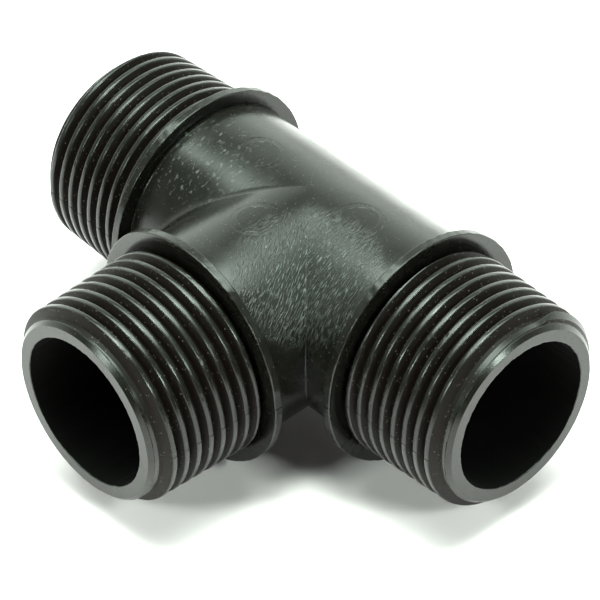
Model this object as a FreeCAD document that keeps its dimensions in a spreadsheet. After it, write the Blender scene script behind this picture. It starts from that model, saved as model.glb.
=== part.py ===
"""Equal male-threaded pipe tee, moulded in black plastic, size R 3/4.

Frame: X along the run, the branch points towards -Y, Z is up and the moulding
lies flat. The origin is the point where the run axis and the branch axis cross.
All lengths are in millimetres.

The tee is modelled as the seven regions of the moulding: the barrel with the
crossing waterways, one collar on each port and one threaded spigot outside
each collar. Neighbouring regions meet face to face on flat ring faces.
"""
import FreeCAD, Part
import math
import os

import Sketcher
from FreeCAD import Placement, Rotation, Vector

SHEET = "Dimensions"

# Driving dimensions. Thread sizes are those of ISO 7-1, size R 3/4.
DRIVING = {
    "run_reach": 35.5,          # axis crossing to each mouth of the run
    "branch_reach": 36.0,       # axis crossing to the mouth of the branch
    "bore_diameter": 19.5,      # waterway
    "barrel_diameter": 26.7,    # outside of the barrel between the collars
    "collar_diameter": 30.6,
    "collar_thickness": 1.1,
    "collar_edge": 0.12,        # round on the outer edges of a collar
    "spigot_length": 16.2,      # collar shoulder to mouth face
    "face_diameter": 22.6,      # outside of the flat mouth face
    "gauge_major": 26.441,      # thread major diameter at the gauge plane
    "gauge_length": 9.5,        # mouth face to the gauge plane
    "thread_pitch": 1.8143,     # 14 threads to the inch
    "thread_height": 1.162,
    "flank_angle": 27.5,        # half of the 55 degree thread angle
    "crest_land": 0.58,
    "ridge_sink": 0.25,         # depth of the ridge's foot inside the core
    "ridge_start": 1.15,        # mouth face to the middle of the first crest
    "relief_width": 0.75,       # plain neck between thread and collar
    "relief_depth": 0.05,       # neck below the root of the thread
    "mark_diameter": 4.5,       # ejector-pin witness marks
    "mark_offset": 8.6,         # axis crossing to each mark
    "mark_sink": 0.04,          # mark below the crown of the barrel
}

# Sizes that follow from the driving ones, written as spreadsheet formulas.
DERIVED = {
    "bore_radius": "=bore_diameter / 2",
    "barrel_radius": "=barrel_diameter / 2",
    "collar_radius": "=collar_diameter / 2",
    "face_radius": "=face_diameter / 2",
    "run_shoulder": "=run_reach - spigot_length",
    "branch_shoulder": "=branch_reach - spigot_length",
    "run_barrel": "=run_shoulder - collar_thickness",
    "branch_barrel": "=branch_shoulder - collar_thickness",
    "root_at_mouth": "=gauge_major / 2 - thread_height - gauge_length / 32",
    "root_at_collar": "=root_at_mouth + spigot_length / 32",
    "rim_chamfer": "=(root_at_mouth - face_radius) * 32 / 31",
    "root_at_rim": "=root_at_mouth + rim_chamfer / 32",
    "taper_angle": "=atan(1 / 32)",
    "foot_width": "=crest_land + 2 * thread_height * tan(flank_angle * 1deg)",
    "ridge_travel": "=spigot_length - ridge_start - relief_width + foot_width / 2",
    "ridge_turns": "=ridge_travel / thread_pitch",
}

# Port name: reach cell, turn of the port frame onto the tee frame, and the
# angle about the port axis at which the thread begins at the mouth.
PORTS = {
    "run_right": ("run_shoulder", Rotation(Vector(1, 1, 1), 120), 75.2),
    "run_left": ("run_shoulder", Rotation(Vector(0, 1, 0), -90), 124.2),
    "branch": ("branch_shoulder", Rotation(Vector(1, 0, 0), 90), -62.5),
}


def make_sheet(doc):
    """Add the spreadsheet and fill it with the driving and derived sizes."""
    sheet = doc.addObject("Spreadsheet::Sheet", SHEET)
    cells = list(DRIVING.items()) + list(DERIVED.items())
    for row, (alias, value) in enumerate(cells, start=1):
        sheet.set("A%d" % row, alias)
        sheet.set("B%d" % row, str(value))
        sheet.setAlias("B%d" % row, alias)
    doc.recompute()
    return sheet


def size(alias):
    """Return the expression that reads one cell of the sheet."""
    return "%s.%s" % (SHEET, alias)


def origin_item(body, role):
    """Return the plane or axis of a body's origin that has the given role."""
    return next(item for item in body.Origin.OriginFeatures if item.Role == role)


def add_sketch(body, name, role, height=None):
    """Add a sketch on one of the body's origin planes, raised by a cell."""
    sketch = body.newObject("Sketcher::SketchObject", name)
    sketch.AttachmentSupport = [(origin_item(body, role), "")]
    sketch.MapMode = "FlatFace"
    if height:
        sketch.setExpression(".AttachmentOffset.Base.z", height)
    return sketch


def add_circle(sketch, diameter, x_offset=None, y_offset=None):
    """Add a circle with its diameter, and its centre if given, bound to cells."""
    circle = sketch.addGeometry(Part.Circle(Vector(0, 0, 0), Vector(0, 0, 1), 5), False)
    index = sketch.addConstraint(Sketcher.Constraint("Diameter", circle, 10.0))
    sketch.setExpression("Constraints[%d]" % index, diameter)
    for kind, offset in (("DistanceX", x_offset), ("DistanceY", y_offset)):
        index = sketch.addConstraint(Sketcher.Constraint(kind, -1, 1, circle, 3, 0.0))
        sketch.setExpression("Constraints[%d]" % index, offset or "0 mm")
    return circle


def add_outline(sketch, corners):
    """Add a closed outline whose corners are pairs of expressions."""
    count = len(corners)
    start = [Vector(math.cos(6.28 * i / count), math.sin(6.28 * i / count), 0)
             for i in range(count)]
    for i in range(count):
        sketch.addGeometry(Part.LineSegment(start[i], start[(i + 1) % count]), False)
    for i in range(count):
        join = Sketcher.Constraint("Coincident", i, 2, (i + 1) % count, 1)
        sketch.addConstraint(join)
    for i, corner in enumerate(corners):
        for kind, value in zip(("DistanceX", "DistanceY"), corner):
            index = sketch.addConstraint(Sketcher.Constraint(kind, -1, 1, i, 1, 0.0))
            sketch.setExpression("Constraints[%d]" % index, value)


def add_feature(body, kind, name, sketch, **expressions):
    """Add a sketch-based feature and bind its properties to expressions."""
    feature = body.newObject("PartDesign::" + kind, name)
    feature.Profile = sketch
    for prop, expression in expressions.items():
        feature.setExpression(prop, expression)
    return feature


def make_barrel(doc):
    """Barrel of the tee: crossing tubes between the three collars."""
    body = doc.addObject("PartDesign::Body", "tee_barrel")
    run = add_sketch(body, "RunSection", "YZ_Plane")
    add_circle(run, size("barrel_diameter"))
    pad = add_feature(body, "Pad", "RunTube", run, Length="2 * " + size("run_barrel"))
    pad.Midplane = True
    branch = add_sketch(body, "BranchSection", "XZ_Plane")
    add_circle(branch, size("barrel_diameter"))
    add_feature(body, "Pad", "BranchTube", branch, Length=size("branch_barrel"))

    marks = []
    for name, side in (("RightMark", 1), ("LeftMark", -1), ("BranchMark", 0)):
        level = "%s - %s" % (size("barrel_radius"), size("mark_sink"))
        offset = size("mark_offset")
        for step in ("Seat", "Clear"):
            sketch = add_sketch(body, name + step, "XY_Plane", level)
            x_offset = "%d * %s" % (side, offset) if side else None
            y_offset = None if side else "-1 * " + offset
            add_circle(sketch, size("mark_diameter"), x_offset, y_offset)
            marks.append((name + step, sketch))
    for name, sketch in marks:
        kind = "Pad" if name.endswith("Seat") else "Pocket"
        feature = add_feature(body, kind, name + kind, sketch)
        feature.Length = 1.0
        feature.Reversed = True

    run_bore = add_sketch(body, "RunBoreSection", "YZ_Plane")
    add_circle(run_bore, size("bore_diameter"))
    bore = add_feature(body, "Pocket", "RunBore", run_bore)
    bore.Type = "ThroughAll"
    bore.Midplane = True
    branch_bore = add_sketch(body, "BranchBoreSection", "XZ_Plane")
    add_circle(branch_bore, size("bore_diameter"))
    bore = add_feature(body, "Pocket", "BranchBore", branch_bore)
    bore.Type = "ThroughAll"
    bore.Reversed = True
    return body


def make_collar(doc, name):
    """Collar ring: a flat ring with lightly rounded outer edges."""
    body = doc.addObject("PartDesign::Body", name)
    ring = add_sketch(body, "RingSection", "XY_Plane")
    add_circle(ring, size("collar_diameter"))
    add_circle(ring, size("bore_diameter"))
    pad = add_feature(body, "Pad", "Ring", ring, Length=size("collar_thickness"))
    pad.Reversed = True
    doc.recompute()
    rim = ["Edge%d" % i for i, edge in enumerate(pad.Shape.Edges, start=1)
           if edge.Closed and edge.Curve.Radius > DRIVING["collar_diameter"] / 2 - 0.1]
    fillet = body.newObject("PartDesign::Fillet", "EdgeRound")
    fillet.Base = (pad, rim)
    fillet.setExpression("Radius", size("collar_edge"))
    return body


def make_spigot(doc, name):
    """Threaded spigot: tapered core, helical ridge and a plain neck."""
    body = doc.addObject("PartDesign::Body", name)
    axis = (origin_item(body, "Z_Axis"), [""])
    bore, length = size("bore_radius"), size("spigot_length")

    core_outline = add_sketch(body, "CoreOutline", "XZ_Plane")
    add_outline(core_outline, [
        (bore, "0"),
        (size("root_at_collar"), "0"),
        (size("root_at_rim"), "%s - %s" % (length, size("rim_chamfer"))),
        (size("face_radius"), length),
        (bore, length),
    ])
    core = add_feature(body, "Revolution", "Core", core_outline)
    core.ReferenceAxis = axis
    core.Angle = 360

    ridge_outline = add_sketch(body, "RidgeOutline", "XZ_Plane")
    middle = "%s - %s / 2" % (size("relief_width"), size("foot_width"))
    root = "%s - (%s) / 32" % (size("root_at_collar"), middle)
    foot = "%s - %s" % (root, size("ridge_sink"))
    crest = "%s + %s" % (root, size("thread_height"))
    corners = []
    for radius, width, side in (
            (foot, "foot_width", -1), (root, "foot_width", -1), (crest, "crest_land", -1),
            (crest, "crest_land", 1), (root, "foot_width", 1), (foot, "foot_width", 1)):
        corners.append((radius, "%s + %d * %s / 2" % (middle, side, size(width))))
    add_outline(ridge_outline, corners)
    ridge = add_feature(body, "AdditiveHelix", "Ridge", ridge_outline)
    ridge.ReferenceAxis = axis
    ridge.Mode = "pitch-turns-angle"
    ridge.setExpression("Pitch", size("thread_pitch"))
    ridge.setExpression("Turns", size("ridge_turns"))
    ridge.setExpression("Angle", "-1 * " + size("taper_angle"))

    neck_outline = add_sketch(body, "NeckOutline", "XZ_Plane")
    neck = "%s - %s" % (size("root_at_collar"), size("relief_depth"))
    far = "2 * " + size("barrel_radius")
    add_outline(neck_outline, [
        (neck, size("relief_width")),
        (far, size("relief_width")),
        (far, "-1 * " + length),
        (bore, "-1 * " + length),
        (bore, "0"),
        (neck, "0"),
    ])
    groove = add_feature(body, "Groove", "Neck", neck_outline)
    groove.ReferenceAxis = axis
    groove.Angle = 360
    return body


def place_on_port(body, port, sheet, spin=0.0):
    """Put a body made along +Z on a port, turned by spin about the port axis."""
    cell, turn, _ = PORTS[port]
    outward = turn.multVec(Vector(0, 0, 1))
    body.Placement = Placement(
        outward * sheet.get(cell), turn * Rotation(Vector(0, 0, 1), spin))
    axis, side = ("x", outward.x) if abs(outward.x) > 0.5 else ("y", outward.y)
    body.setExpression(".Placement.Base.%s" % axis, "%d * %s" % (round(side), size(cell)))


def build_tee(doc):
    """Build every region of the moulding and return the list of bodies."""
    sheet = make_sheet(doc)
    bodies = [make_barrel(doc)]
    for port, (_, _, start_angle) in PORTS.items():
        collar = make_collar(doc, port + "_collar")
        place_on_port(collar, port, sheet)
        spigot = make_spigot(doc, port + "_spigot")
        place_on_port(spigot, port, sheet, start_angle - 360 * sheet.get("ridge_turns"))
        bodies += [collar, spigot]
    doc.recompute()
    return bodies


def check_model(doc, bodies):
    """Stop if any object failed or any body is not one valid solid."""
    for item in doc.Objects:
        if "Invalid" in item.State or "Error" in item.State:
            raise RuntimeError("%s did not recompute: %s" % (item.Name, item.State))
    for body in bodies:
        shape = body.Shape
        if shape.isNull() or not shape.isValid() or len(shape.Solids) != 1:
            raise RuntimeError("%s is not one valid solid" % body.Label)


def export_parts(bodies):
    """Write each body to parts/LABEL.step."""
    os.makedirs("parts", exist_ok=True)
    for body in bodies:
        body.Shape.exportStep("parts/%s.step" % body.Label)


document = FreeCAD.newDocument("pipe_tee")
tee = build_tee(document)
check_model(document, tee)
export_parts(tee)
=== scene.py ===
"""Looks of a black moulded tee fitting with three tapered male pipe threads.

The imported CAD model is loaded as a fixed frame. Each of its nodes is replaced
by a skin with the detail of the real moulding: rounded thread crests, thread
starts that fade in, worn rims, the parting line of the mould, the filleted
crotches and the marks of the ejector pins. Sizes in the classes are in
millimetres, and meshes are written in metres.
"""

import logging
import math
from collections.abc import Mapping, Sequence
from dataclasses import dataclass
from enum import Enum, IntEnum
from typing import Any

import bmesh
import bpy
import numpy as np
from mathutils import Matrix, Vector


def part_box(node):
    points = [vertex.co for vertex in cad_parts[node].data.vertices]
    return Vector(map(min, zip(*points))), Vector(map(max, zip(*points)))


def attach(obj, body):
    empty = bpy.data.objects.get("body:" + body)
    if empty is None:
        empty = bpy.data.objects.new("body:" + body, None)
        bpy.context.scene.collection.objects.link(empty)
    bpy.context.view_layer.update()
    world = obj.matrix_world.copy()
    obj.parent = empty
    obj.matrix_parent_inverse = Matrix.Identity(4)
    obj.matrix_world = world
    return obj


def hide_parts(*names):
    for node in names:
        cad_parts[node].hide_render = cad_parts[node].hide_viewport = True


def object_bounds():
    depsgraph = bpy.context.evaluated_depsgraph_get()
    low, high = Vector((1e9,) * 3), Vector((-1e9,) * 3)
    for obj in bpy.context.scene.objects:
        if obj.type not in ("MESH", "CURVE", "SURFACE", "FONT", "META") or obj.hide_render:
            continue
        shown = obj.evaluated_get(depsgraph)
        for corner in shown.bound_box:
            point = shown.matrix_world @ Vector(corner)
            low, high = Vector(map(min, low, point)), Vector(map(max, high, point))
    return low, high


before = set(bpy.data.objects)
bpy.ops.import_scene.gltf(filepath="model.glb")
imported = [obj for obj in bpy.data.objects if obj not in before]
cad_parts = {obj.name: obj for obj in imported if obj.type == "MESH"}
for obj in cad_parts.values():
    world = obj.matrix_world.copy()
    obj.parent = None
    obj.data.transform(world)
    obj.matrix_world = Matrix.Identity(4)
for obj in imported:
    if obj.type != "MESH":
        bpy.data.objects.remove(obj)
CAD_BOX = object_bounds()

LOG = logging.getLogger("tee_fitting")
MM = 0.001
GRAIN_MAP = "grain"
WELD = 2e-7
BRANCH_GRAIN = (0.83, 0.55)  # cosine and sine of the scratches' lean on the branch


# ---------------------------------------------------------------- shared maths


def smooth_lesser(first: Any, second: Any, softness: float) -> np.ndarray:
    """The lesser of two values with a rounded hand-over.

    Half of the sum, less half of the root of (difference squared plus four
    times softness squared): a hyperbola that hugs both straight lines.

    Args:
        first: One value.
        second: The other value.
        softness: How far the corner is cut, in the values' own unit.

    Returns:
        The rounded lesser value.
    """
    gap = np.subtract(first, second)
    return 0.5 * (np.add(first, second) - np.sqrt(gap * gap + 4.0 * softness**2))


def ease(value: Any) -> np.ndarray:
    """Goes from 0 to 1 as value does, by 3 t squared less 2 t cubed.

    Args:
        value: One value or many.

    Returns:
        The eased values, flat at both ends.
    """
    t = np.clip(value, 0.0, 1.0)
    return t * t * (3.0 - 2.0 * t)


def rounded_profile(
    corners: Sequence[tuple[float, float, float]], steps: int = 4, hold: float = 0.03
) -> np.ndarray:
    """Points along straight runs whose corners are rounded by arcs.

    An arc leaves the two runs at radius times tan(half the turn) from the
    corner. One more point at each side of it keeps the runs' shading flat.

    Args:
        corners: Place along the axis, radius and arc radius of each corner.
        steps: Parts in each arc.
        hold: How far the holding point stands off the arc.

    Returns:
        Points as rows of place along the axis and radius.
    """
    spots = np.array([corner[:2] for corner in corners], float)
    t = np.linspace(0.0, 1.0, steps + 1)[:, None]
    out = [spots[:1]]
    for index in range(1, len(corners) - 1):
        into = spots[index] - spots[index - 1]
        away = spots[index + 1] - spots[index]
        into /= np.linalg.norm(into)
        away /= np.linalg.norm(away)
        turn = math.acos(float(np.clip(into @ away, -1.0, 1.0)))
        radius = corners[index][2]
        cut = radius * math.tan(turn / 2.0)
        side = np.array([-into[1], into[0]])
        side *= np.sign(side @ away)
        centre = spots[index] - into * cut + side * radius
        arc = centre + radius * (into * np.sin(t * turn) - side * np.cos(t * turn))
        out += [arc[:1] - into * hold, arc, arc[-1:] + away * hold]
    return np.concatenate([*out, spots[-1:]])


@dataclass(frozen=True)
class Unevenness:
    """A smooth random field, for wear and for surfaces that are not quite true.

    It is a sum of plane waves with seeded directions, lengths and phases, so
    its value at a point of space does not depend on the mesh.
    """

    seed: int
    shortest: float
    longest: float
    waves: int = 28

    def at(self, points: np.ndarray) -> np.ndarray:
        """Value of the field, about -2 to 2 and mostly within 1.

        Args:
            points: Points in millimetres, with x, y and z last.

        Returns:
            One value for each point.
        """
        rng = np.random.default_rng(self.seed)
        heading = rng.normal(size=(self.waves, 3))
        heading /= np.linalg.norm(heading, axis=1, keepdims=True)
        length = np.exp(
            rng.uniform(math.log(self.shortest), math.log(self.longest), self.waves)
        )
        phase = rng.uniform(0.0, 2.0 * math.pi, self.waves)
        total = np.zeros(points.shape[:-1])
        for step, start in zip(heading * (2.0 * math.pi / length[:, None]), phase):
            total += np.cos(points @ step + start)
        return total * math.sqrt(2.0 / self.waves)


@dataclass(frozen=True)
class Parting:
    """The line at z = 0 where the two halves of the mould meet.

    The lower half stands a little proud, and the step takes a short run.
    """

    step: float = 0.045
    run: float = 0.05

    def lift(self, points: np.ndarray) -> np.ndarray:
        """How far the skin stands out at points in millimetres (x, y, z last)."""
        return self.step * ease(0.5 - points[..., 2] / self.run)


def ring_angles(count: int, parting: Sequence[float]) -> np.ndarray:
    """Angles round a ring, closed, with extra ones at the parting line.

    Args:
        count: Even parts of the whole turn.
        parting: Angles, in turns, that get four close neighbours.

    Returns:
        Rising angles in radians from 0 to one whole turn, both included.
    """
    even = np.linspace(0.0, 1.0, count + 1)
    near = np.array([-0.0022, -0.0009, -0.0003, 0.0003, 0.0009, 0.0022])
    extra = (np.array(parting)[:, None] + near[None, :]).ravel() % 1.0
    clear = np.abs(even[:, None] - np.array(parting)[None, :]).min(axis=1)
    keep = (clear > 0.0028) | (clear < 1e-9)
    return 2.0 * math.pi * np.unique(np.concatenate([even[keep], extra, [0.0, 1.0]]))


# ---------------------------------------------------------------- shared tools


def as_linear(hex_value: str) -> tuple[float, float, float, float]:
    """Turns an sRGB colour into a linear one.

    Args:
        hex_value: The colour, such as "#1a1b1a".

    Returns:
        Red, green, blue and alpha.
    """
    raw = [int(hex_value[i : i + 2], 16) / 255.0 for i in (1, 3, 5)]
    flat = [c / 12.92 if c <= 0.04045 else ((c + 0.055) / 1.055) ** 2.4 for c in raw]
    return flat[0], flat[1], flat[2], 1.0


def add_node(
    tree: bpy.types.NodeTree,
    kind: str,
    settings: Mapping[str, Any] | None = None,
    sockets: Mapping[str | int, Any] | None = None,
) -> bpy.types.Node:
    """Adds a node with its settings, constants and links.

    Args:
        tree: The node tree that gets it.
        kind: The node's type.
        settings: Values of the node's own properties.
        sockets: For each input, by name or place, a constant or an output to link.

    Returns:
        The new node.
    """
    node = tree.nodes.new(kind)
    for name, value in (settings or {}).items():
        setattr(node, name, value)
    for name, value in (sockets or {}).items():
        if isinstance(value, bpy.types.NodeSocket):
            tree.links.new(value, node.inputs[name])
        else:
            node.inputs[name].default_value = value
    return node


def grid_faces(rows: int, columns: int) -> np.ndarray:
    """Lists the quads between the points of a grid, row by row.

    Args:
        rows: How many rows of points the grid has.
        columns: How many points each row has.

    Returns:
        Four point numbers for each quad.
    """
    corner = np.arange(rows * columns).reshape(rows, columns)
    quads = [corner[:-1, :-1], corner[:-1, 1:], corner[1:, 1:], corner[1:, :-1]]
    return np.stack(quads, axis=-1).reshape(-1, 4)


class Region(IntEnum):
    """Regions of a piece's skin, in the order of the finishes."""

    OUTER = 0
    # Inside the bores; their finish's darker colour is painted shade.
    BORE = 1
    # Thread flanks and roots; their finish's darker, warmer colour is painted shade.
    GROOVE = 2


@dataclass
class Skin:
    """Grids of points that together make one closed skin.

    Each patch is a grid of points in millimetres with a grid of its grain
    map's coordinates. Patches meet point to point, and are welded.
    """

    name: str
    replaced: tuple[str, ...]

    def __post_init__(self) -> None:
        """Starts with no patches."""
        self.points: list[np.ndarray] = []
        self.grain: list[np.ndarray] = []
        self.quads: list[np.ndarray] = []
        self.finish: list[np.ndarray] = []

    def add_patch(
        self, points: np.ndarray, grain: np.ndarray, region: np.ndarray, flip: bool = False
    ) -> None:
        """Adds a grid of points.

        Args:
            points: Rows and columns of x, y, z.
            grain: Rows and columns of across-the-streaks and along-the-streaks.
            region: For each row of points, the Region of the faces after it.
            flip: Whether the grid's faces are turned over.
        """
        offset = sum(len(p) for p in self.points)
        quads = grid_faces(*points.shape[:2]) + offset
        self.points.append(points.reshape(-1, 3))
        self.grain.append(grain.reshape(-1, 2))
        self.quads.append(quads[:, ::-1] if flip else quads)
        self.finish.append(np.repeat(region[:-1].astype(np.int32), points.shape[1] - 1))

    def build(self, finishes: Sequence[bpy.types.Material]) -> bpy.types.Object:
        """Makes the mesh object, welds it and puts it in the frame.

        The sum over faces of the corner triple products gives the volume, and
        a negative one turns all the faces over, so they point outwards.

        Args:
            finishes: The finish of each Region.

        Returns:
            The finished object.
        """
        points = np.concatenate(self.points) * MM
        quads = np.concatenate(self.quads)
        grain = np.concatenate(self.grain) * MM
        a, b, c, d = (points[quads[:, i]] for i in range(4))
        volume = (np.cross(a, b) * c + np.cross(a, c) * d).sum()
        if volume < 0.0:
            quads = quads[:, ::-1]
        mesh = bpy.data.meshes.new(self.name)
        mesh.vertices.add(len(points))
        mesh.vertices.foreach_set("co", points.ravel())
        mesh.loops.add(quads.size)
        mesh.loops.foreach_set("vertex_index", quads.ravel().astype(np.int32))
        mesh.polygons.add(len(quads))
        mesh.polygons.foreach_set("loop_start", np.arange(0, quads.size, 4, dtype=np.int32))
        mesh.polygons.foreach_set("material_index", np.concatenate(self.finish))
        mesh.update(calc_edges=True)
        layer = mesh.uv_layers.new(name=GRAIN_MAP)
        layer.uv.foreach_set("vector", grain[quads.ravel()].ravel().astype(np.float32))
        weld = bmesh.new()
        weld.from_mesh(mesh)
        bmesh.ops.remove_doubles(weld, verts=weld.verts, dist=WELD)
        bmesh.ops.dissolve_degenerate(weld, dist=WELD, edges=weld.edges)
        weld.to_mesh(mesh)
        weld.free()
        mesh.shade_smooth()
        for finish in finishes:
            mesh.materials.append(finish)
        piece = bpy.data.objects.new(self.name, mesh)
        bpy.context.scene.collection.objects.link(piece)
        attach(piece, "root")
        if self.replaced:
            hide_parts(*self.replaced)
        LOG.info("%s: %d faces", self.name, len(mesh.polygons))
        return piece


# ---------------------------------------------------------------- finishes


@dataclass(frozen=True)
class WornPatch:
    """A round patch of the skin, in millimetres, that was rubbed or scratched."""

    middle: tuple[float, float, float]
    reach: float

    def mask(
        self, tree: bpy.types.NodeTree, place: bpy.types.NodeSocket
    ) -> bpy.types.NodeSocket:
        """Adds nodes that give 1 at the patch's middle, falling to 0 at its reach.

        Args:
            tree: The material's node tree.
            place: The object coordinates.

        Returns:
            The mask.
        """
        middle = tuple(value * MM for value in self.middle)
        away = add_node(
            tree,
            "ShaderNodeVectorMath",
            {"operation": "DISTANCE"},
            {0: place, 1: middle},
        ).outputs["Value"]
        return add_node(
            tree,
            "ShaderNodeMapRange",
            {"interpolation_type": "SMOOTHSTEP"},
            {
                "Value": away,
                "From Min": self.reach * MM,
                "From Max": 0.35 * self.reach * MM,
            },
        ).outputs["Result"]


@dataclass(frozen=True)
class MouldedPolypropylene:
    """Black polypropylene, injection moulded in a polished steel cavity.

    The eye sees a near-black body with a satin skin that picks up the light
    of the room, faint flow streaks, a fine skin grain, pale scuffs where the
    fitting was rubbed, short bright scratches in the front crotch and specks
    of dust everywhere.
    """

    body: str = "#100f0c"
    scuff: str = "#9fa39c"
    scratch: str = "#858b88"
    dust: str = "#8a8079"
    roughness: float = 0.26
    ior: float = 1.49
    gloss: float = 0.41
    streak_width: float = 0.30
    streak_length: float = 4.0
    streak_depth: float = 0.010
    grain_size: float = 0.17
    grain_depth: float = 0.006
    cloud_size: float = 5.0
    scuff_width: float = 0.50
    scuff_length: float = 0.85
    scuffed: WornPatch = WornPatch((-13.0, -4.5, 12.0), 8.5)
    scratch_width: float = 0.16
    scratch_length: float = 1.1
    scratch_depth: float = 0.11
    scratched: WornPatch = WornPatch((9.0, -9.0, 10.4), 10.2)
    scuff_band: tuple[float, float] = (0.58, 0.95)
    scuff_share: float = 0.26
    scratch_band: tuple[float, float] = (0.49, 0.68)
    scratch_share: float = 0.33
    scratch_roughening: float = 0.16
    cloud_roughening: float = 0.05
    dust_spacing: float = 0.42
    dust_reach: float = 0.26
    dusting: float = 0.15

    def streak_noise(
        self, tree: bpy.types.NodeTree, width: float, length: float, detail: float
    ) -> bpy.types.NodeSocket:
        """Adds noise stretched along the grain map's second direction.

        Args:
            tree: The material's node tree.
            width: Width of a streak in millimetres.
            length: Length of a streak in millimetres.
            detail: How many finer layers of noise it has.

        Returns:
            The noise, about 0.5 on average.
        """
        grain = add_node(tree, "ShaderNodeUVMap", {"uv_map": GRAIN_MAP}).outputs["UV"]
        scale = (1.0 / (width * MM), 1.0 / (length * MM), 1.0)
        laid = add_node(
            tree, "ShaderNodeMapping", {}, {"Vector": grain, "Scale": scale}
        ).outputs["Vector"]
        return add_node(
            tree,
            "ShaderNodeTexNoise",
            {"noise_dimensions": "2D"},
            {"Vector": laid, "Scale": 1.0, "Detail": detail, "Distortion": 0.15},
        ).outputs["Fac"]

    def part(
        self, tree: bpy.types.NodeTree, value: bpy.types.NodeSocket, low: float, high: float
    ) -> bpy.types.NodeSocket:
        """Adds a smooth step.

        Args:
            tree: The material's node tree.
            value: What the step goes by.
            low: Value below which the step is 0.
            high: Value above which it is 1.

        Returns:
            The step.
        """
        return add_node(
            tree,
            "ShaderNodeMapRange",
            {"interpolation_type": "SMOOTHSTEP"},
            {"Value": value, "From Min": low, "From Max": high},
        ).outputs["Result"]

    def build(self, name: str) -> bpy.types.Material:
        """Makes the material.

        Args:
            name: The material's name.

        Returns:
            The material, with patterns in real millimetres.
        """
        material = bpy.data.materials.new(name)
        material.use_nodes = True
        tree = material.node_tree
        tree.nodes.clear()
        place = add_node(tree, "ShaderNodeTexCoord").outputs["Object"]
        times = {"operation": "MULTIPLY"}

        def noise(size: float, detail: float) -> bpy.types.NodeSocket:
            """Adds even noise.

            Args:
                size: Size of its features in millimetres.
                detail: How many finer layers it has.

            Returns:
                The noise, about 0.5 on average.
            """
            sockets = {"Vector": place, "Scale": 1.0 / (size * MM), "Detail": detail}
            return add_node(tree, "ShaderNodeTexNoise", {}, sockets).outputs["Fac"]

        clouds = noise(self.cloud_size, 3.0)
        skin = noise(self.grain_size, 2.0)
        streaks = self.streak_noise(tree, self.streak_width, self.streak_length, 3.0)
        scratches = self.streak_noise(tree, self.scratch_width, self.scratch_length, 2.0)
        scratch_area = self.scratched.mask(tree, place)
        lines = self.part(tree, scratches, *self.scratch_band)
        lines = add_node(
            tree, "ShaderNodeMath", times, {0: lines, 1: scratch_area}
        ).outputs["Value"]
        rubs = self.streak_noise(tree, self.scuff_width, self.scuff_length, 1.0)
        rubs = self.part(tree, rubs, *self.scuff_band)
        rubbed = add_node(
            tree, "ShaderNodeMath", times, {0: rubs, 1: self.scuffed.mask(tree, place)}
        ).outputs["Value"]
        motes = add_node(
            tree,
            "ShaderNodeTexVoronoi",
            {},
            {"Vector": place, "Scale": 1.0 / (self.dust_spacing * MM)},
        ).outputs
        mote_size = add_node(
            tree,
            "ShaderNodeMapRange",
            {},
            {"Value": motes["Color"], "To Min": 0.0, "To Max": self.dust_reach},
        ).outputs["Result"]
        mote = add_node(
            tree, "ShaderNodeMath", {"operation": "LESS_THAN"}, {0: motes["Distance"], 1: mote_size}
        ).outputs["Value"]

        def over(
            base: Any, top: str, mask: bpy.types.NodeSocket, most: float
        ) -> bpy.types.NodeSocket:
            """Lays a colour over another.

            Args:
                base: The colour underneath.
                top: The colour on top.
                mask: Where the top colour lies.
                most: Its share where the mask is 1.

            Returns:
                The mixed colour.
            """
            share = add_node(tree, "ShaderNodeMath", times, {0: mask, 1: most}).outputs["Value"]
            sockets = {"Factor": share, 6: base, 7: as_linear(top)}
            return add_node(tree, "ShaderNodeMix", {"data_type": "RGBA"}, sockets).outputs[2]

        colour = over(as_linear(self.body), self.dust, mote, self.dusting)
        colour = over(colour, self.scratch, lines, self.scratch_share)
        colour = over(colour, self.scuff, rubbed, self.scuff_share)
        rough = add_node(
            tree,
            "ShaderNodeMapRange",
            {},
            {
                "Value": clouds,
                "From Min": 0.25,
                "From Max": 0.75,
                "To Min": self.roughness - self.cloud_roughening,
                "To Max": self.roughness + self.cloud_roughening,
            },
        ).outputs["Result"]
        rough = add_node(
            tree,
            "ShaderNodeMath",
            {"operation": "MULTIPLY_ADD"},
            {0: scratch_area, 1: self.scratch_roughening, 2: rough},
        ).outputs["Value"]
        normal = None
        for height, depth in (
            (streaks, self.streak_depth),
            (skin, self.grain_depth),
            (lines, self.scratch_depth),
        ):
            sockets = {"Strength": 1.0, "Distance": depth * MM, "Height": height}
            if normal is not None:
                sockets["Normal"] = normal
            normal = add_node(tree, "ShaderNodeBump", {}, sockets).outputs["Normal"]
        shader = add_node(
            tree,
            "ShaderNodeBsdfPrincipled",
            {},
            {
                "Base Color": colour,
                "Roughness": rough,
                "IOR": self.ior,
                "Specular IOR Level": self.gloss,
                "Normal": normal,
            },
        )
        add_node(
            tree, "ShaderNodeOutputMaterial", {}, {"Surface": shader.outputs["BSDF"]}
        )
        return material


@dataclass(frozen=True)
class PaintedBoard:
    """Matt white painted board under the object, which bounces soft light up."""

    paint: str = "#fff2f8"
    roughness: float = 0.9

    def build(self, name: str) -> bpy.types.Material:
        """Makes the material.

        Args:
            name: The material's name.

        Returns:
            The material.
        """
        material = bpy.data.materials.new(name)
        material.use_nodes = True
        shader = material.node_tree.nodes["Principled BSDF"]
        shader.inputs["Base Color"].default_value = as_linear(self.paint)
        shader.inputs["Roughness"].default_value = self.roughness
        return material


# ---------------------------------------------------------------- the fitting


class PortName(Enum):
    """The three ports."""

    RUN_RIGHT = "run_right"
    RUN_LEFT = "run_left"
    BRANCH = "branch"


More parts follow.
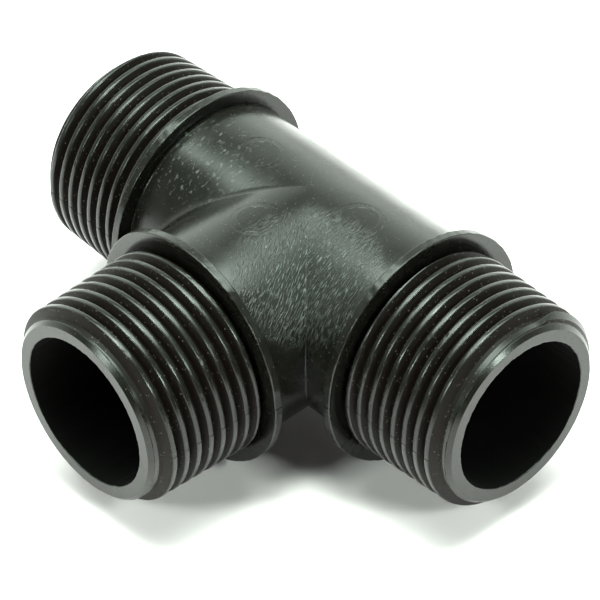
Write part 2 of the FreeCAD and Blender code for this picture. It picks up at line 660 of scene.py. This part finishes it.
@dataclass(frozen=True)
class Port:
    """One port's own axes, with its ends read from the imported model.

    Distances run inwards from the mouth, and angles from across towards up.
    """

    name: PortName
    outward: tuple[float, float, float]
    across: tuple[float, float, float]
    up: tuple[float, float, float]
    ridge_angle: float

    def edge(self, node: str, far: bool) -> float:
        """Distance of a node's far or near end from the axis crossing, in mm.

        Args:
            node: The last part of the node's name.
            far: Whether the end farther from the crossing is meant.

        Returns:
            The distance along the port.
        """
        low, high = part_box(f"{self.name.value}_{node}")
        ends = [Vector(self.outward).dot(corner) / MM for corner in (low, high)]
        return max(ends) if far else min(ends)

    @property
    def reach(self) -> float:
        """Distance of the mouth from the axis crossing."""
        return self.edge("spigot", True)

    @property
    def parting(self) -> tuple[float, float]:
        """Angles, in turns, of the parting line."""
        return (0.0, 0.5) if self.up == (0.0, 0.0, 1.0) else (0.25, 0.75)

    def points(self, depth: Any, radius: Any, angle: Any) -> np.ndarray:
        """Places points round the port's axis.

        A point stands on the axis at reach less depth, and off it by the
        radius times (cosine of the angle across, sine of it up).

        Args:
            depth: Distances in from the mouth.
            radius: Distances from the axis.
            angle: Angles in radians.

        Returns:
            Points in millimetres, x, y and z last.
        """
        out, across, up = map(np.array, (self.outward, self.across, self.up))
        depth, radius, angle = np.broadcast_arrays(depth, radius, angle)
        return (
            (self.reach - depth)[..., None] * out
            + (radius * np.cos(angle))[..., None] * across
            + (radius * np.sin(angle))[..., None] * up
        )

    def lifted(self, depth: Any, radius: Any, angle: Any, lift: Any) -> np.ndarray:
        """Places points whose radius is raised by lift."""
        return self.points(depth, np.add(radius, lift), angle)


PORTS = (
    Port(PortName.RUN_RIGHT, (1.0, 0.0, 0.0), (0.0, 1.0, 0.0), (0.0, 0.0, 1.0), 75.2),
    Port(PortName.RUN_LEFT, (-1.0, 0.0, 0.0), (0.0, 0.0, 1.0), (0.0, 1.0, 0.0), 124.2),
    Port(PortName.BRANCH, (0.0, -1.0, 0.0), (1.0, 0.0, 0.0), (0.0, 0.0, 1.0), -62.5),
)


@dataclass(frozen=True)
class PipeThread:
    """The tapered thread: a right-handed helical ridge on a cone.

    The ridge's centre moves out by one pitch for each turn of rising angle.
    """

    pitch: float = 1.8143
    height: float = 1.162
    crest_land: float = 0.58
    flank_angle: float = 27.5
    root_at_mouth: float = 11.7616
    taper: float = 1.0 / 32.0
    ridge_start: float = 1.15
    fade_turn: float = 18.0
    crest_softness: float = 0.06
    crest_margin: float = 0.05
    root_softness: float = 0.06

    def root(self, depth: Any) -> np.ndarray:
        """Radius of the cone under the ridge, which grows by one in thirty-two."""
        return self.root_at_mouth + self.taper * np.asarray(depth)

    def centre(self, angle: np.ndarray, start: float) -> np.ndarray:
        """Distance in of the first turn's centre at each angle.

        Args:
            angle: Angles in radians.
            start: Angle in degrees where the ridge begins.

        Returns:
            Distances in millimetres.
        """
        return self.ridge_start + self.pitch * (math.radians(start) - angle) / (2.0 * math.pi)

    def height_at(self, offset: np.ndarray) -> np.ndarray:
        """Height of the ridge at an offset from its centre.

        The flank falls by offset over tan(flank angle). It is met by a flat
        crest, and by its neighbour at the root, both through rounded corners.

        Args:
            offset: Offsets along the axis, within half a pitch.

        Returns:
            Heights over the root cone.
        """
        slope = 1.0 / math.tan(math.radians(self.flank_angle))
        foot = self.crest_land / 2.0 + self.height / slope
        gap = self.pitch / 2.0 - np.abs(offset)
        run = np.sqrt(gap * gap + self.root_softness**2)
        flank = slope * (run - (self.pitch / 2.0 - foot))
        return smooth_lesser(flank, self.height, self.crest_softness)

    def radius(self, depth: np.ndarray, angle: np.ndarray, start: float) -> np.ndarray:
        """Radius of the threaded cone.

        The offset is what is left of the distance from the first turn after
        whole pitches are taken off. The ridge grows over the fade turn.

        Args:
            depth: Distances in from the mouth.
            angle: Angles in radians.
            start: Angle in degrees where the ridge begins.

        Returns:
            Radii in millimetres.
        """
        phase = (depth - self.centre(angle, start)) / self.pitch
        turn = np.round(phase)
        offset = (phase - turn) * self.pitch
        travelled = self.centre(angle, start) + turn * self.pitch - self.ridge_start
        grown = ease(travelled / self.pitch * 360.0 / self.fade_turn)
        return self.root(depth) + grown * self.height_at(offset)

    def offsets(self) -> np.ndarray:
        """Offsets of the mesh lines over one pitch, close at both crest edges."""
        edge = self.crest_land / 2.0
        foot = self.pitch / 2.0
        side = np.array(
            [0.1, edge - 0.1, edge - 0.05, edge - 0.018, edge + 0.01, edge + 0.04]
            + [edge + 0.085, edge + 0.17, foot - 0.3, foot - 0.17, foot - 0.1, foot - 0.045]
        )
        return np.concatenate([[-foot], -side[::-1], [0.0], side])


@dataclass(frozen=True)
class ThreadedSpigot:
    """The spigot outside a collar: bore, mouth face, chamfer, thread and neck."""

    port: Port
    thread: PipeThread = PipeThread()
    parting: Parting = Parting()
    bore_radius: float = 9.75
    face_radius: float = 11.3
    bore_edge: float = 0.12
    face_edge: float = 0.06
    neck_width: float = 0.75
    neck_sink: float = 0.05
    thread_gap: float = 0.06
    thread_wall: tuple[tuple[float, float], ...] = (
        (-0.03, 0.97),
        (-0.01, 0.88),
        (0.0, 0.5),
        (0.005, 0.1),
        (0.03, 0.02),
        (0.12, 0.0),
    )  # distance past the thread's end, share of the ridge's height left
    worn_margin: float = 0.2
    ragged_reach: tuple[float, float] = (0.15, 0.3)
    chamfer_softness: float = 0.02
    dent_threshold: float = 1.45
    dent_depth: float = 0.035
    groove_parting: float = 0.25
    waviness: float = 0.008
    raggedness: float = 0.03
    ring_parts: int = 288

    def mouth_profile(self, length: float) -> np.ndarray:
        """Profile from the bore's inner end, out round the mouth, to the thread.

        Args:
            length: Distance from the mouth to the collar.

        Returns:
            Rows of distance in and radius.
        """
        rim = (self.root_meets_chamfer, float(self.thread.root(self.root_meets_chamfer)))
        return rounded_profile(
            [
                (length, self.bore_radius, 0.0),
                (0.0, self.bore_radius, self.bore_edge),
                (0.0, self.face_radius, self.face_edge),
                (*rim, self.face_edge),
                (rim[0] + 0.12, float(self.thread.root(rim[0] + 0.12)), 0.0),
            ]
        )

    @property
    def root_meets_chamfer(self) -> float:
        """Distance in where the 45 degree chamfer reaches the thread's root cone."""
        thread = self.thread
        return (thread.root_at_mouth - self.face_radius) / (1.0 - thread.taper)

    def build(self, finishes: Sequence[bpy.types.Material]) -> bpy.types.Object:
        """Builds the spigot's skin.

        Its grid has rings at both ends. Between them its lines follow the
        helix, so that the crest's edges stay crisp, and are held back where
        they would pass the ends, which closes up by welding.

        Args:
            finishes: The finish of each Region.

        Returns:
            The finished object.
        """
        port, thread = self.port, self.thread
        length = port.reach - port.edge("spigot", False)
        angle = ring_angles(self.ring_parts, port.parting)[None, :]
        mouth = self.mouth_profile(length)
        first, last = mouth[-1, 0], length - self.neck_width - self.thread_gap
        turns = np.arange(-1, math.ceil(length / thread.pitch) + 2)
        lines = (turns[:, None] * thread.pitch + thread.offsets()[None, :]).ravel()
        depth = np.clip(
            thread.centre(angle, port.ridge_angle) + lines[:, None] + thread.pitch,
            first,
            last,
        )
        cone = self.face_radius + depth
        ridge = thread.radius(depth, angle, port.ridge_angle)
        radius = smooth_lesser(ridge, cone, self.chamfer_softness)
        wall = np.array([*self.thread_wall, (self.neck_width, 0.0)])
        wall_depth = length - self.neck_width + wall[:, 0]
        wall_share = wall[:, 1:]
        neck = float(thread.root(length)) - self.neck_sink
        wall_radius = neck + wall_share * (radius[-1:] - neck)
        ones = np.ones_like(angle)
        rows_depth = np.concatenate([mouth[:, :1] * ones, depth, wall_depth[:, None] * ones])
        rows_radius = np.concatenate([mouth[:, 1:] * ones, radius, wall_radius])
        rows_depth = np.concatenate([rows_depth, rows_depth[:1]])
        rows_radius = np.concatenate([rows_radius, rows_radius[:1]])
        true = port.points(rows_depth, rows_radius, angle)
        outside = (rows_radius > self.face_radius - self.worn_margin).astype(float)
        lift = outside * self.wear(true, rows_radius, rows_depth)
        ragged = Unevenness(11, 0.5, 2.4).at(true) * self.raggedness
        across, along = self.ragged_reach
        from_bore = (rows_radius - self.bore_radius) / across
        near_bore = np.exp(-(from_bore**2) - rows_depth / along)
        points = port.lifted(rows_depth, rows_radius, angle, lift + ragged * near_bore)
        grain = np.stack([rows_depth, rows_radius * angle], axis=-1)
        skin = Skin(f"moulded_{port.name.value}_spigot", (f"{port.name.value}_spigot",))
        offsets = np.abs(np.tile(thread.offsets(), len(turns)))
        off_crest = offsets > thread.crest_land / 2.0 + thread.crest_margin
        # Faces off the crests take the groove finish, whose darker colour is painted shade in the
        # grooves.
        region = np.full(len(points), Region.GROOVE)
        region[: len(mouth)] = Region.OUTER
        # The bore row takes the bore finish, whose darker colour is painted shade.
        region[0] = Region.BORE
        region[len(mouth) : len(mouth) + len(lines)][~off_crest] = Region.OUTER
        skin.add_patch(points, grain, region)
        return skin.build(finishes)

    def wear(self, points: np.ndarray, radius: np.ndarray, depth: np.ndarray) -> np.ndarray:
        """Small dents along the crests and a slight waviness of the whole skin.

        The dents are what a random field has above a threshold, times how
        near the radius is to the crest's.

        Args:
            points: Points in millimetres.
            radius: Their radii.
            depth: Their distances in from the mouth.

        Returns:
            How far the skin stands out.
        """
        near_crest = ease(
            (radius - self.thread.root(depth)) / self.thread.height * 2.0 - 1.0
        )
        dents = np.clip(Unevenness(23, 0.35, 1.2).at(points) - self.dent_threshold, 0.0, None)
        proud = self.parting.lift(points) * (
            self.groove_parting + (1.0 - self.groove_parting) * near_crest
        )
        waves = Unevenness(5, 3.0, 14.0).at(points) * self.waviness
        return proud + waves - self.dent_depth * dents * near_crest


@dataclass(frozen=True)
class Collar:
    """The thin round collar behind a spigot, with both rims slightly rounded."""

    port: Port
    parting: Parting = Parting(step=0.05)
    bore_radius: float = 9.75
    rim_round: float = 0.13
    worn_rim: float = 1.0
    waviness: float = 0.02
    pitting: float = 0.016
    ring_parts: int = 288

    def build(self, finishes: Sequence[bpy.types.Material]) -> bpy.types.Object:
        """Builds the collar's skin from its closed profile.

        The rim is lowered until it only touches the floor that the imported
        model stands on.

        Args:
            finishes: The finish of each Region.

        Returns:
            The finished object.
        """
        port = self.port
        near = port.reach - port.edge("collar", True)
        far = port.reach - port.edge("collar", False)
        low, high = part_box(f"{port.name.value}_collar")
        outer = max((high[i] - low[i]) / 2.0 for i in range(3)) / MM
        profile = rounded_profile(
            [
                (near, self.bore_radius, 0.0),
                (near, outer, self.rim_round),
                (far, outer, self.rim_round),
                (far, self.bore_radius, 0.0),
            ],
            steps=5,
        )
        profile = np.concatenate([profile, profile[:1]])
        angle = ring_angles(self.ring_parts, port.parting)[None, :]
        depth, radius = profile[:, :1] + 0.0 * angle, profile[:, 1:] + 0.0 * angle
        true = port.points(depth, radius, angle)
        rim = ease((radius - outer + self.worn_rim) / (0.8 * self.worn_rim))
        uneven = Unevenness(31, 4.0, 18.0).at(true) * self.waviness
        pitted = Unevenness(37, 0.5, 1.5).at(true) * self.pitting
        lift = rim * (self.parting.lift(true) + uneven + pitted)
        lowest = port.lifted(depth, radius, angle, lift)[..., 2].min()
        lift = lift - rim * max(CAD_BOX[0].z / MM - lowest, 0.0)
        grain = np.stack([depth, radius * angle], axis=-1)
        skin = Skin(f"moulded_{port.name.value}_collar", (f"{port.name.value}_collar",))
        region = np.full(len(profile), Region.OUTER)
        # The inner face takes the bore finish, whose darker colour is painted shade.
        region[-2] = Region.BORE
        skin.add_patch(port.lifted(depth, radius, angle, lift), grain, region)
        return skin.build(finishes)


class MarkName(Enum):
    """The three ejector-pin marks on the crown."""

    BACK = "back"
    RIGHT = "right"
    BRANCH = "branch"


@dataclass(frozen=True)
class EjectorMark:
    """The flat print of an ejector pin's end on the barrel's crown.

    The pin's end is nearly flat and the crown is not, so the print is sunk on
    the crown's ridge and stands proud at both flanks. A thin flange round it lies
    on the barrel's skin, which makes room for the print in a shallow bed.
    """

    name: MarkName
    x: float
    y: float
    radius: float = 2.25
    flange: float = 0.75
    sink: float = 0.055
    flatness: float = 0.35
    edge: float = 0.05
    cover: float = 0.003
    tuck: float = 0.006
    tuck_width: float = 0.4
    bed_depth: float = 0.3
    bed_end: float = 0.70
    bed_slope: float = 0.55
    burr_height: float = 0.018
    burr_offset: float = 0.07
    burr_width: float = 0.05
    thickness: float = 0.25

    @staticmethod
    def bed(points: np.ndarray) -> np.ndarray:
        """Depth of the beds in the barrel's skin under all the marks.

        Args:
            points: Points in millimetres.

        Returns:
            The depth, which eases from nothing at the flange's outer part.
        """
        depth = np.zeros(points.shape[:-1])
        for mark in MARKS:
            away = np.hypot(points[..., 0] - mark.x, points[..., 1] - mark.y)
            rim = mark.radius + mark.bed_end * mark.flange
            inside = ease((rim - away) / (mark.bed_slope * mark.flange))
            depth += mark.bed_depth * inside * (points[..., 2] > 0.0)
        return depth

    def build(self, barrel: "Barrel", finishes: Sequence[bpy.types.Material]) -> bpy.types.Object:
        """Builds the print as a thin closed lens.

        Its top is a polar grid: a nearly flat disc inside, a rounded step and
        a broken burr at the pin's edge, and the barrel's own skin outside,
        which tucks under the barrel at the flange's rim.

        Args:
            barrel: The barrel it lies on.
            finishes: The finish of each Region.

        Returns:
            The finished object.
        """
        outer = self.radius + self.flange
        near = self.radius + self.edge * np.linspace(-1.6, 1.6, 11)
        rings = np.concatenate(
            [np.linspace(0.0, near[0], 9)[:-1], near, np.linspace(near[-1], outer, 16)[1:]]
        )[:, None]
        turn = np.linspace(0.0, 2.0 * math.pi, 97)[None, :]
        x, y = self.x + rings * np.cos(turn), self.y + rings * np.sin(turn)
        side = x if self.name is MarkName.BRANCH else y
        skin_z = np.sqrt(barrel.radius**2 - side**2)
        tucked = np.clip((rings - outer) / self.tuck_width + 1.0, 0.0, None)
        skin_z = skin_z + barrel.lift(np.stack([x, y, skin_z], axis=-1))
        skin_z = skin_z + self.cover - self.tuck * tucked * tucked
        off_burr = (rings - self.radius - self.burr_offset) / self.burr_width
        broken = Unevenness(53 + len(self.name.value), 1.0, 3.0).at(
            np.stack([x, y, skin_z], axis=-1)
        )
        burr = self.burr_height * np.exp(-(off_burr**2)) * np.clip(broken, 0.0, 1.0)
        flat_z = skin_z + (barrel.radius - skin_z) * self.flatness - self.sink
        inside = ease((self.radius - rings) / self.edge + 0.5)
        top = skin_z + burr + (flat_z - skin_z - burr) * inside
        upper = np.stack([x, y, top], axis=-1)
        lower = np.stack([x, y, skin_z - self.thickness], axis=-1)[::-1]
        rows = np.concatenate([upper, lower])
        skin = Skin(f"ejector_mark_{self.name.value}", ())
        skin.add_patch(rows, rows[..., :2], np.full(len(rows), Region.OUTER))
        return skin.build(finishes)


MARKS = (
    EjectorMark(MarkName.BACK, -8.6, 0.0),
    EjectorMark(MarkName.RIGHT, 8.6, 0.0),
    EjectorMark(MarkName.BRANCH, 0.0, -8.6),
)


@dataclass(frozen=True)
class BarrelArm:
    """One of the barrel's three arms, from the mitre planes to a collar."""

    outward: tuple[float, float, float]
    across: tuple[float, float, float]
    end: float
    round_whole: bool
    flip: bool

    def grain(self, length: np.ndarray, arc: np.ndarray) -> np.ndarray:
        """Grain map, whose second direction is the way the skin's scratches lie.

        On the run they go round it. On the branch they lean, by a turn of the
        map.

        Args:
            length: Distances along the arm in millimetres.
            arc: Distances round it in millimetres.

        Returns:
            Across-the-scratches and along-the-scratches for every point.
        """
        if self.round_whole:
            turn, lean = BRANCH_GRAIN
            return np.stack([turn * arc + lean * length, lean * arc - turn * length], axis=-1)
        return np.stack([length, arc], axis=-1)


@dataclass(frozen=True)
class Barrel:
    """The barrel between the collars: three arms with filleted crotches."""

    bore_radius: float = 9.75
    crotch_right: float = 0.22
    crotch_left: float = 2.4
    collar_fillet: float = 0.12
    parting: Parting = Parting(step=0.03)
    waviness: float = 0.02
    ring_parts: int = 288
    rows: int = 56
    row_crowding: float = 1.5
    corrections: int = 40
    correction_share: float = 0.8

    @property
    def radius(self) -> float:
        """Outer radius, from the node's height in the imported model."""
        low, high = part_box("tee_barrel")
        return (high.z - low.z) / 2.0 / MM

    def arms(self) -> tuple[BarrelArm, ...]:
        """The three arms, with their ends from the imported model."""
        low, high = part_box("tee_barrel")
        return (
            BarrelArm((1.0, 0.0, 0.0), (0.0, -1.0, 0.0), high.x / MM, False, True),
            BarrelArm((-1.0, 0.0, 0.0), (0.0, -1.0, 0.0), -low.x / MM, False, False),
            BarrelArm((0.0, -1.0, 0.0), (1.0, 0.0, 0.0), -low.y / MM, True, False),
        )

    def crotch(self, points: np.ndarray) -> np.ndarray:
        """Width of the crotch's fillet.

        It is the full width at mid height, times (1 less height over radius
        squared), so it closes towards the crown. Behind the run it is nothing.

        Args:
            points: Points in millimetres.

        Returns:
            One width for each point.
        """
        width = np.where(points[..., 0] > 0.0, self.crotch_right, self.crotch_left)
        width = np.where(points[..., 1] < 0.0, width, 0.0)
        height = points[..., 2] / self.radius
        return width * np.clip(1.0 - height * height, 0.0, 1.0) + 1e-6

    def distance(self, points: np.ndarray) -> np.ndarray:
        """Signed distance, outwards, from the joined surface of run and branch.

        The run is a cylinder on X and the branch one on Y that ends in a
        sphere at the crossing. The lesser of the two distances is lowered by
        a quarter of the fillet's width times (1 less their difference over
        the width) squared, where that is positive.

        Args:
            points: Points in millimetres.

        Returns:
            One distance for each point.
        """
        x, y, z = points[..., 0], points[..., 1], points[..., 2]
        run = np.sqrt(y * y + z * z) - self.radius
        branch = np.sqrt(x * x + z * z + np.clip(y, 0.0, None) ** 2) - self.radius
        width = self.crotch(points)
        share = np.clip(1.0 - np.abs(run - branch) / width, 0.0, None)
        return np.minimum(run, branch) - width / 4.0 * share * share

    def lift(self, points: np.ndarray) -> np.ndarray:
        """How far the skin stands out from true cylinders at points in millimetres."""
        return self.parting.lift(points) + Unevenness(41, 5.0, 20.0).at(points) * self.waviness

    def arm_points(
        self, arm: BarrelArm, along: np.ndarray, radius: np.ndarray, angle: np.ndarray
    ) -> np.ndarray:
        """Places points round an arm's axis.

        A point stands on the axis at along, and off it by the radius times
        (cosine of the angle across, sine of it up).

        Args:
            arm: The arm.
            along: Distances along the arm.
            radius: Distances from its axis.
            angle: Angles in radians.

        Returns:
            Points in millimetres.
        """
        out, across, up = np.array(arm.outward), np.array(arm.across), np.array((0.0, 0.0, 1.0))
        return (
            along[..., None] * out
            + (radius * np.cos(angle))[..., None] * across
            + (radius * np.sin(angle))[..., None] * up
        )

    def mitre(self, arm: BarrelArm, radius: np.ndarray, angle: np.ndarray) -> np.ndarray:
        """Distance along an arm where it meets its neighbours.

        The planes halfway between the branch and the run's arms are at 45
        degrees, so the distance is as great as the point's distance across.
        The two run arms meet at the axis crossing behind the branch.

        Args:
            arm: The arm.
            radius: Distances from its axis.
            angle: Angles in radians.

        Returns:
            Distances along the arm.
        """
        side = radius * np.cos(angle)
        return np.abs(side) if arm.round_whole else np.clip(side, 0.0, None)

    def solved_radius(
        self, arm: BarrelArm, share: np.ndarray, angle: np.ndarray
    ) -> tuple[np.ndarray, np.ndarray]:
        """Radius and distance along for which the surface passes through a ray.

        The radius is corrected by the distance still left, over and over.

        Args:
            arm: The arm.
            share: Share of the way from the mitre to the arm's end.
            angle: Angles in radians.

        Returns:
            Distances along the arm, and radii.
        """
        radius = np.full(np.broadcast(share, angle).shape, self.radius)
        along = radius
        for _ in range(self.corrections):
            start = self.mitre(arm, radius, angle)
            along = start + (arm.end - start) * share
            left = self.distance(self.arm_points(arm, along, radius, angle))
            radius = radius - self.correction_share * left
        return along, radius

    def build(self, finishes: Sequence[bpy.types.Material]) -> bpy.types.Object:
        """Builds the barrel's skin, outer surface and crossing bores in one.

        Args:
            finishes: The finish of each Region.

        Returns:
            The finished object.
        """
        skin = Skin("moulded_barrel", ("tee_barrel",))
        angle = ring_angles(self.ring_parts, (0.0, 0.5))[None, :]
        share = (np.linspace(0.0, 1.0, self.rows) ** self.row_crowding)[:, None]
        for arm in self.arms():
            along, radius = self.solved_radius(arm, share, angle)
            near_end = np.clip(1.0 - (arm.end - along) / self.collar_fillet, 0.0, 1.0)
            flare = self.collar_fillet * (1.0 - np.sqrt(1.0 - near_end * near_end))
            true = self.arm_points(arm, along, radius, angle)
            lift = self.lift(true) - EjectorMark.bed(true)
            outer = self.arm_points(arm, along, radius + flare + lift, angle)
            bore = np.full_like(radius, self.bore_radius)
            start = self.mitre(arm, bore, angle)
            inner_along = start + (arm.end - start) * share
            inner = self.arm_points(arm, inner_along, bore, angle)
            rows = np.concatenate([outer, inner[::-1]])
            arc = np.concatenate([radius * angle, bore[::-1] * angle])
            length = np.concatenate([along, inner_along[::-1]])
            inside = np.arange(len(rows)) >= len(outer)
            # Rows inside take the bore finish, whose darker colour is painted shade.
            region = np.where(inside, Region.BORE, Region.OUTER)
            skin.add_patch(rows, arm.grain(length, arc), region, arm.flip)
        return skin.build(finishes)


# ---------------------------------------------------------------- the studio


@dataclass(frozen=True)
class SoftLight:
    """A rectangular soft box that faces the object."""

    name: str
    azimuth: float
    elevation: float
    distance: float
    width: float
    height: float
    radiance: float
    colour: str = "#e8fcee"

    def build(self, aim: Vector) -> None:
        """Hangs the soft box, with its width level.

        Its power is radiance times area times pi.

        Args:
            aim: The point it faces.
        """
        lamp = bpy.data.lights.new(self.name, "AREA")
        lamp.shape = "RECTANGLE"
        lamp.size, lamp.size_y = self.width, self.height
        lamp.energy = self.radiance * self.width * self.height * math.pi
        lamp.color = as_linear(self.colour)[:3]
        turn, tilt = math.radians(self.azimuth), math.radians(self.elevation)
        level = Vector((math.cos(turn), math.sin(turn), 0.0))
        back = Vector(
            (math.sin(turn) * math.cos(tilt), -math.cos(turn) * math.cos(tilt), math.sin(tilt))
        )
        box = bpy.data.objects.new(self.name, lamp)
        axes = Matrix((level, back.cross(level), back)).transposed().to_4x4()
        box.matrix_world = Matrix.Translation(aim + back * self.distance) @ axes
        box.visible_camera = False
        bpy.context.scene.collection.objects.link(box)


@dataclass(frozen=True)
class Studio:
    """Pale floor, soft lights and the camera."""

    floor_size: float = 6.0
    sky_colour: str = "#f0fcf2"
    overhead_sky: float = 0.05
    front_horizon: float = 0.02
    back_horizon: float = 2.0
    back_azimuth: float = 228.0
    horizon_turn: tuple[float, float] = (-0.2, 0.6)
    sky_heights: tuple[float, float] = (0.15, 0.90)
    lights: tuple[SoftLight, ...] = (
        SoftLight("overhead_soft_box", 228.0, 78.0, 1.2, 1.45, 0.75, 11.0),
        SoftLight("overhead_lamp", 228.0, 89.0, 1.2, 0.32, 0.32, 32.0),
        SoftLight("back_soft_box", 228.0, 24.0, 1.3, 1.8, 0.8, 1.15),
        SoftLight("left_lamp", -8.0, 36.0, 1.2, 0.22, 0.22, 54.0),
        SoftLight("right_lamp", 98.0, 37.0, 1.2, 0.22, 0.22, 54.0),
    )
    camera_place: tuple[float, float, float] = (0.265694, -0.238549, 0.307171)
    camera_turn: tuple[tuple[float, float, float], ...] = (
        (0.677873, 0.734898, -0.020330),
        (-0.473079, 0.457204, 0.753100),
        (0.562747, -0.500889, 0.657591),
    )
    lens: float = 234.97

    def build(self, floor_finish: bpy.types.Material) -> None:
        """Builds the floor, lights, sky and camera.

        Args:
            floor_finish: The floor's material.
        """
        self.lay_floor(floor_finish)
        aim = (CAD_BOX[0] + CAD_BOX[1]) / 2.0
        for light in self.lights:
            light.build(aim)
        self.light_room()
        bpy.context.scene.view_settings.view_transform = "Standard"
        self.place_camera()

    def light_room(self) -> None:
        """Lights the room: a bright backdrop low behind the object, dim elsewhere.

        The brightness rises towards the horizon, and along it from the front
        to the back.
        """
        world = bpy.data.worlds.new("studio_room")
        world.use_nodes = True
        tree = world.node_tree
        way = add_node(tree, "ShaderNodeTexCoord").outputs["Generated"]
        turn = math.radians(self.back_azimuth)
        behind = (math.sin(turn), -math.cos(turn), 0.0)
        towards = add_node(
            tree, "ShaderNodeVectorMath", {"operation": "DOT_PRODUCT"}, {0: way, 1: behind}
        ).outputs["Value"]
        height = add_node(tree, "ShaderNodeSeparateXYZ", {}, {0: way}).outputs["Z"]
        step = {"interpolation_type": "SMOOTHSTEP"}
        horizon = add_node(
            tree,
            "ShaderNodeMapRange",
            step,
            {
                "Value": towards,
                "From Min": self.horizon_turn[0],
                "From Max": self.horizon_turn[1],
                "To Min": self.front_horizon,
                "To Max": self.back_horizon,
            },
        ).outputs["Result"]
        strength = add_node(
            tree,
            "ShaderNodeMapRange",
            step,
            {
                "Value": height,
                "From Min": self.sky_heights[0],
                "From Max": self.sky_heights[1],
                "To Min": horizon,
                "To Max": self.overhead_sky,
            },
        ).outputs["Result"]
        sky = tree.nodes["Background"]
        sky.inputs["Color"].default_value = as_linear(self.sky_colour)
        tree.links.new(strength, sky.inputs["Strength"])
        bpy.context.scene.world = world

    def lay_floor(self, finish: bpy.types.Material) -> None:
        """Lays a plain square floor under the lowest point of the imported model."""
        half, low = self.floor_size / 2.0, CAD_BOX[0].z
        corners = [(-half, -half, low), (half, -half, low), (half, half, low), (-half, half, low)]
        mesh = bpy.data.meshes.new("studio_floor")
        mesh.from_pydata(corners, [], [(0, 1, 2, 3)])
        mesh.materials.append(finish)
        floor = bpy.data.objects.new("studio_floor", mesh)
        bpy.context.scene.collection.objects.link(floor)

    def place_camera(self) -> None:
        """Puts the camera at its place, turned by its right, up and back axes."""
        data = bpy.data.cameras.new("studio_camera")
        data.sensor_width = 36.0
        data.lens = self.lens
        data.clip_start, data.clip_end = 0.01, 50.0
        camera = bpy.data.objects.new("studio_camera", data)
        turn = Matrix(self.camera_turn).transposed().to_4x4()
        camera.matrix_world = Matrix.Translation(self.camera_place) @ turn
        bpy.context.scene.collection.objects.link(camera)
        bpy.context.scene.camera = camera


# ---------------------------------------------------------------- assembly


def main() -> None:
    """Builds the studio and every piece of the fitting, in order."""
    logging.basicConfig(level=logging.INFO)
    Studio().build(PaintedBoard().build("matt_white_board"))
    finishes = (
        MouldedPolypropylene().build("moulded_black_polypropylene"),
        # Bore finish: matt and less glossy, without dust; its darker colour is painted shade inside
        # the bores.
        MouldedPolypropylene(body="#070606", roughness=0.85, gloss=0.12, dusting=0.0).build(
            "matt_bore_painted_shade_black_polypropylene"
        ),
        # Groove finish: rougher and less glossy, with a little more dust; its darker, warmer colour
        # is painted shade in the thread's grooves.
        MouldedPolypropylene(body="#0e0806", roughness=0.50, gloss=0.14, dusting=0.3).build(
            "rough_groove_painted_shade_black_polypropylene"
        ),
    )
    barrel = Barrel()
    barrel.build(finishes)
    for mark in MARKS:
        mark.build(barrel, finishes)
    for port in PORTS:
        Collar(port).build(finishes)
        ThreadedSpigot(port).build(finishes)


if __name__ == "__main__":
    main()
